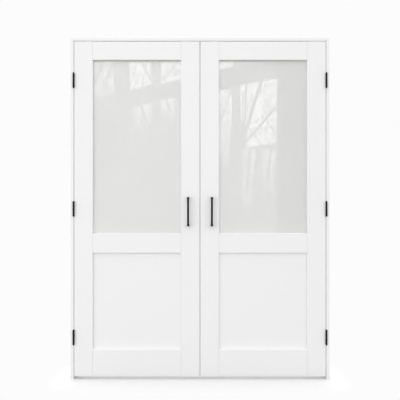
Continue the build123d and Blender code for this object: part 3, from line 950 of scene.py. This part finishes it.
# %% Draw the branches over the panes
window_shapes = len(shapes)
for start, end, thick, thin, level in (
    ((262, 79), (242, 143), 3.6, 2.9, 222),
    ((278, 105), (243, 145), 2.6, 2.0, 223),
    ((249, 127), (263, 146), 1.8, 1.2, 225),
    ((257, 96), (269, 80), 1.7, 0.9, 228),
    ((262, 115), (277, 133), 1.8, 1.0, 226),
    ((272, 111), (262, 94), 1.6, 0.8, 228),
    ((248, 124), (260, 119), 1.4, 0.8, 228),
    ((246.5, 126), (246, 147), 2.3, 1.6, 223),
    ((232, 89), (218, 128), 2.0, 1.3, 225),
    ((225, 104), (232, 116), 1.4, 0.8, 229),
    ((218, 110), (226, 126), 1.6, 0.9, 227),
    ((243, 90), (243.5, 118), 1.4, 1.0, 228),
    ((139, 57), (152, 82), 2.9, 1.6, 229),
    ((147, 58), (141, 88), 1.7, 1.0, 231),
    ((134, 74), (138, 57), 1.4, 0.8, 231),
    ((178, 58), (164, 81), 2.2, 1.3, 229),
    ((168, 57), (176, 76), 1.7, 0.9, 230),
    ((104, 57), (94, 84), 2.9, 2.1, 222),
    ((112, 62), (103, 90), 2.1, 1.4, 222),
    ((140, 103), (147, 122), 2.6, 1.3, 223),
    ((166, 99), (172, 114), 2.2, 1.0, 225),
    ((250, 150), (247, 196), 2.1, 1.4, 219),
    ((271, 150), (267, 188), 2.1, 1.4, 219),
):
    branch(start, end, thick, thin, level)
print("branches:", len(shapes) - window_shapes)

# %% Build the card
LAYER = 0.4 * MM
card_y = pane_low[1] - CARD_DISTANCE
corners, faces, glows = [], [], []
for depth, (outline, levels) in enumerate(shapes):
    faces.append(range(len(corners), len(corners) + len(outline)))
    for (px, py), level in zip(outline, levels):
        x, z = on_card(px, py)
        corners.append((x, card_y + depth * LAYER, z))
        glows.append(glow_for(level))
card_mesh = bpy.data.meshes.new("window card")
card_mesh.from_pydata(corners, [], faces)
glow = card_mesh.attributes.new("glow", "FLOAT", "POINT")
glow.data.foreach_set("value", glows)
card = plain_object("window card", card_mesh)
print("card at", round(card_y, 2), "with", len(faces), "shapes")

# %% [markdown]
# Between the drawn branches come twigs, far too many to draw. A noise that is turned into lines,
# where it passes through its middle value, gives wandering strokes, and three sizes of it look
# like boughs, twigs and tips. They darken what lies behind them and never brighten it.

# %% Make the twigs
TREE_LEVEL = 222
TWIG_LAYERS = ((2.0, 0.03, 0.7), (4.2, 0.035, 0.6), (8.0, 0.06, 0.5))

card_material = bpy.data.materials.new("window glow")
card_material.use_nodes = True
card_material.cycles.emission_sampling = "NONE"
card_tree = card_material.node_tree
card_tree.nodes.clear()
card_place = add_node(card_tree, "ShaderNodeTexCoord").outputs["Object"]


def twig_lines(scale, width, share):
    """How much the twigs of one size cover, at each place of the card."""
    wander = add_node(card_tree, "ShaderNodeTexNoise", in_Vector=card_place, in_Scale=scale,
                      in_Detail=3.0, in_Roughness=0.6, in_Distortion=0.6)
    centred = add_math(card_tree, "SUBTRACT", wander.outputs["Fac"], 0.5)
    line = add_node(card_tree, "ShaderNodeMapRange", interpolation_type="SMOOTHSTEP",
                    in_Value=add_math(card_tree, "ABSOLUTE", centred),
                    in_From_Max=width, in_To_Min=share, in_To_Max=0.0)
    return line.outputs["Result"]


boughs, twigs, tips = [twig_lines(*layer) for layer in TWIG_LAYERS]
larger_twigs = add_math(card_tree, "MAXIMUM", boughs, twigs)
all_twigs = add_math(card_tree, "MAXIMUM", larger_twigs, tips)
print("twigs in", len(TWIG_LAYERS), "sizes")

# %% [markdown]
# The card glows for rays that have bounced off something glossy and lets all others through, so
# it gives no light to the paint and throws no shadow.

# %% Let only reflections see the card
HALF_WAY = 0.5

card_glow = add_node(card_tree, "ShaderNodeAttribute", attribute_name="glow")
dimmed = add_math(card_tree, "MINIMUM", card_glow.outputs["Fac"], glow_for(TREE_LEVEL))
thicket = add_node(card_tree, "ShaderNodeMix", data_type="FLOAT", in_Factor=all_twigs,
                   in_A=card_glow.outputs["Fac"], in_B=dimmed)
card_light = add_node(card_tree, "ShaderNodeEmission", in_Color=WHITE,
                      in_Strength=thicket.outputs["Result"])
card_gone = add_node(card_tree, "ShaderNodeBsdfTransparent", in_Color=WHITE)
card_path = add_node(card_tree, "ShaderNodeLightPath")
mirrored = add_math(card_tree, "GREATER_THAN", card_path.outputs["Glossy Depth"], HALF_WAY)
card_surface = mix_shaders(card_tree, mirrored, card_gone.outputs[0], card_light.outputs[0])
add_node(card_tree, "ShaderNodeOutputMaterial", in_Surface=card_surface)
card_mesh.materials.append(card_material)
for ray in ("camera", "diffuse", "volume_scatter", "shadow"):
    setattr(card, f"visible_{ray}", False)
print("card material:", len(card_tree.nodes), "nodes")

# %% [markdown]
# ## Floor, backdrop and light
# A catalogue picture has a white backdrop, which isn't the light that the doors need. So the room
# has both: the light that it gives, and the white that is seen directly, in a mirror or through
# glass. The kind of ray tells them apart.

# %% Set the world
ROOM_LEVEL = 1.29
BACKGROUND = srgb(252)


def looking_rays(tree):
    """1 for rays that look at the room: from the camera, through glass or off a glossy face."""
    path = add_node(tree, "ShaderNodeLightPath")
    direct = add_math(tree, "MAXIMUM", path.outputs["Is Camera Ray"], path.outputs["Is Transmission Ray"])
    return add_math(tree, "MAXIMUM", direct, path.outputs["Is Glossy Ray"])


world = bpy.data.worlds.new("room")
bpy.context.scene.world = world
world.use_nodes = True
world_tree = world.node_tree
world_tree.nodes.clear()
room = add_node(world_tree, "ShaderNodeBackground", in_Color=WHITE, in_Strength=ROOM_LEVEL)
backdrop = add_node(world_tree, "ShaderNodeBackground", in_Color=WHITE, in_Strength=BACKGROUND)
world_surface = mix_shaders(world_tree, looking_rays(world_tree), room.outputs[0], backdrop.outputs[0])
add_node(world_tree, "ShaderNodeOutputWorld", in_Surface=world_surface)
print("room at", ROOM_LEVEL, "and backdrop at", round(BACKGROUND, 3))

# %% [markdown]
# The room's light alone would be the same from all sides. One large soft lamp, low at the left,
# makes the paint a little lighter there, as a window at that side would. It isn't mirrored, as
# its straight edge would cut the panes in two when they are seen from the side.

# %% Add the soft lamp
LAMP_PLACE, LAMP_AIM = (-6.5, -7.0, 1.4), (0, 0, 1.0)
LAMP_SIZE = (8.0, 2.7)
LAMP_WATTS = 130

lamp_data = bpy.data.lights.new("key", "AREA")
lamp_data.shape = "RECTANGLE"
lamp_data.size, lamp_data.size_y = LAMP_SIZE
lamp_data.energy = LAMP_WATTS
lamp = bpy.data.objects.new("key", lamp_data)
lamp.location = LAMP_PLACE
lamp.rotation_euler = (Vector(LAMP_AIM) - Vector(LAMP_PLACE)).to_track_quat("-Z", "Y").to_euler()
lamp.visible_glossy = False
bpy.context.collection.objects.link(lamp)
print("lamp of", LAMP_WATTS, "W,", round((Vector(LAMP_AIM) - Vector(LAMP_PLACE)).length, 1), "m away")

# %% [markdown]
# Close to the doors the floor is a real surface that takes their soft shadow, and further out it
# turns into the same white as the backdrop, so that no horizon shows. A curved sweep would do
# that too, but it would stand in the way of a view from behind. For light that bounces up, the
# floor is a middle grey, so that undersides stay in shade.

# %% Lay the floor
FLOOR_REACH = 40.0

floor_corners = [(x * FLOOR_REACH, y * FLOOR_REACH, 0) for x, y in ((-1, -1), (1, -1), (1, 1), (-1, 1))]
floor_mesh = bpy.data.meshes.new("floor")
floor_mesh.from_pydata(floor_corners, [], [(0, 1, 2, 3)])
floor = plain_object("floor", floor_mesh)
print("floor", 2 * FLOOR_REACH, "m wide")

# %% Give the floor one tone for the eye and one for bounced light
FLOOR_BOUNCE, FLOOR_SEEN = 0.36, 0.87

floor_material, floor_shader = new_material("pale floor", Roughness=0.9, Specular_IOR_Level=0.1)
floor.data.materials.append(floor_material)
floor_tree = floor_material.node_tree
floor_path = add_node(floor_tree, "ShaderNodeLightPath")
floor_tone = add_node(floor_tree, "ShaderNodeMapRange", in_Value=floor_path.outputs["Is Camera Ray"],
                      in_To_Min=FLOOR_BOUNCE, in_To_Max=FLOOR_SEEN)
feed(floor_tree, floor_shader.inputs["Base Color"], floor_tone.outputs["Result"])
print("floor tones:", FLOOR_BOUNCE, "and", FLOOR_SEEN)

# %% Measure how far a place on the floor is from the doors
FADE_NEAR, FADE_FAR = 0.0, 0.14

half_box = [max(abs(cad_box[0][axis]), abs(cad_box[1][axis])) for axis in range(2)] + [0]
nothing = (0, 0, 0)
away = add_node(floor_tree, "ShaderNodeTexCoord").outputs["Object"]
for operation, amount in (("ABSOLUTE", nothing), ("SUBTRACT", half_box), ("MAXIMUM", nothing),
                          ("LENGTH", nothing)):
    step = add_node(floor_tree, "ShaderNodeVectorMath", operation=operation)
    feed(floor_tree, step.inputs[0], away)
    feed(floor_tree, step.inputs[1], amount)
    away = step.outputs["Value" if operation == "LENGTH" else "Vector"]
fade = add_node(floor_tree, "ShaderNodeMapRange", interpolation_type="SMOOTHSTEP", in_Value=away,
                in_From_Min=FADE_NEAR, in_From_Max=FADE_FAR)
print("floor fades between", FADE_NEAR, "and", FADE_FAR, "m from the doors")

# %% Fade the floor into the backdrop
floor_white = add_node(floor_tree, "ShaderNodeEmission", in_Color=WHITE, in_Strength=BACKGROUND)
share = add_math(floor_tree, "MULTIPLY", fade.outputs["Result"], looking_rays(floor_tree))
floor_surface = mix_shaders(floor_tree, share, floor_shader.outputs[0], floor_white.outputs[0])
feed(floor_tree, find_node(floor_tree, "ShaderNodeOutputMaterial").inputs["Surface"], floor_surface)
print("floor material:", len(floor_tree.nodes), "nodes")

# %% [markdown]
# ## Finish
# The patterns have done their work and go.

# %% Take the patterns out and finish
for pattern in (knuckle, tip, hinge_screw, strike_screw, frame_screw, pull, bolt):
    bpy.data.objects.remove(pattern)
bpy.context.scene.view_settings.view_transform = "Standard"
